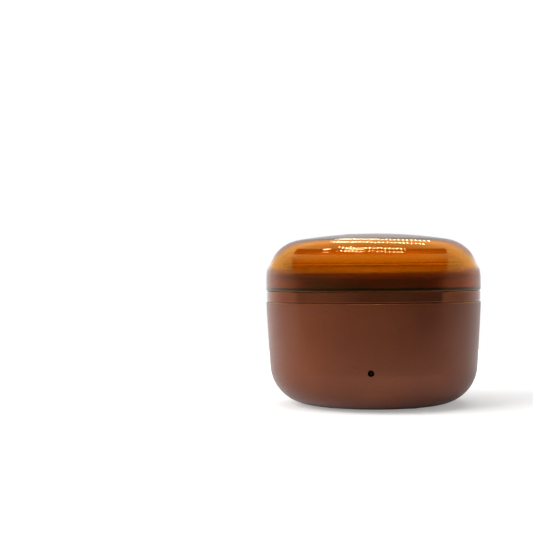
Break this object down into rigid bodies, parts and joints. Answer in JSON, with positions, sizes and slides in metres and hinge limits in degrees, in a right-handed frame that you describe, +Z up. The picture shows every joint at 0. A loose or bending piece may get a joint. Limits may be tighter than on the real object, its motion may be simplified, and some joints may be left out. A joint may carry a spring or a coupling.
{
  "type": "wax heater",
  "caption": "Small round wax heater with a clear amber domed lid over a lift-out aluminium pot, a tapered brown body with an indicator light, and a rear mains inlet and power button.",
  "frame": {"origin": "on the table under the body's axis, in the plane of the feet", "axes": "+Z up along the body's axis, -Y to the front with the indicator hole, +Y to the back with the inlet and power button, +X to the right seen from the front"},
  "size_m": [0.112, 0.112, 0.0894],
  "materials": {
    "lid_amber": "clear amber tint, polished",
    "ring_gloss": "high gloss brown",
    "housing_satin": "satin metallic brown paint",
    "cover_matte": "fine moulded texture",
    "foot_rubber": "matt",
    "steel": "zinc plated",
    "pot_aluminium": "spun, satin",
    "well_aluminium": "drawn, plain",
    "silicone": "translucent white",
    "heater_steel": "stainless sheet over mica",
    "glass_felt": "needled glass felt",
    "bakelite": "moulded phenolic",
    "brass": "nickel-flashed brass",
    "fuse_case": "ceramic-filled case",
    "board_green": "solder resist",
    "led_lens": "tinted lens, unlit",
    "inlet_black": "moulded",
    "button_dark": "satin brown",
    "switch_black": "moulded",
    "wire_white": "silicone insulation"
  },
  "bodies": {
    "base": {"top_ring": "ring_gloss", "base_housing": "housing_satin", "bottom_cover": "cover_matte", "rubber_feet": "foot_rubber", "cover_screws": "steel", "heating_well": "well_aluminium", "well_gasket": "silicone", "well_screws": "steel", "heater_band": "heater_steel", "band_clamp_screw": "steel", "band_clamp_nut": "steel", "insulation_sleeve": "glass_felt", "insulation_pad": "glass_felt", "thermostat_cap": "well_aluminium", "thermostat_body": "bakelite", "thermostat_tabs": "brass", "thermostat_bracket": "steel", "thermostat_screws": "steel", "thermal_fuse": "fuse_case", "fuse_clip": "steel", "fuse_clip_nut": "steel", "led_board": "board_green", "indicator_led": "led_lens", "led_board_screws": "steel", "power_inlet": "inlet_black", "inlet_pins": "brass", "button_spring": "steel", "switch_body": "switch_black", "switch_nut": "steel", "switch_tabs": "brass", "wiring": "wire_white"},
    "lid": {"lid": "lid_amber"},
    "pot": {"wax_pot": "pot_aluminium"},
    "button": {"power_button": "button_dark"}
  },
  "joints": [
    {"name": "lid_lift", "type": "slide", "parent": "base", "child": "lid", "axis": [0, 0, 1], "range_m": [0, 0.13]},
    {"name": "pot_lift", "type": "slide", "parent": "base", "child": "pot", "axis": [0, 0, 1], "range_m": [0, 0.05]},
    {"name": "power_button_press", "type": "slide", "parent": "base", "child": "button", "axis": [0, -1, 0], "range_m": [0, 0.0015], "stiffness_N_per_m": 800, "deforming": ["button_spring"]}
  ],
  "couplings": [
    {"joint": "pot_lift", "follows": "lid_lift", "ratio": 0.384}
  ]
}
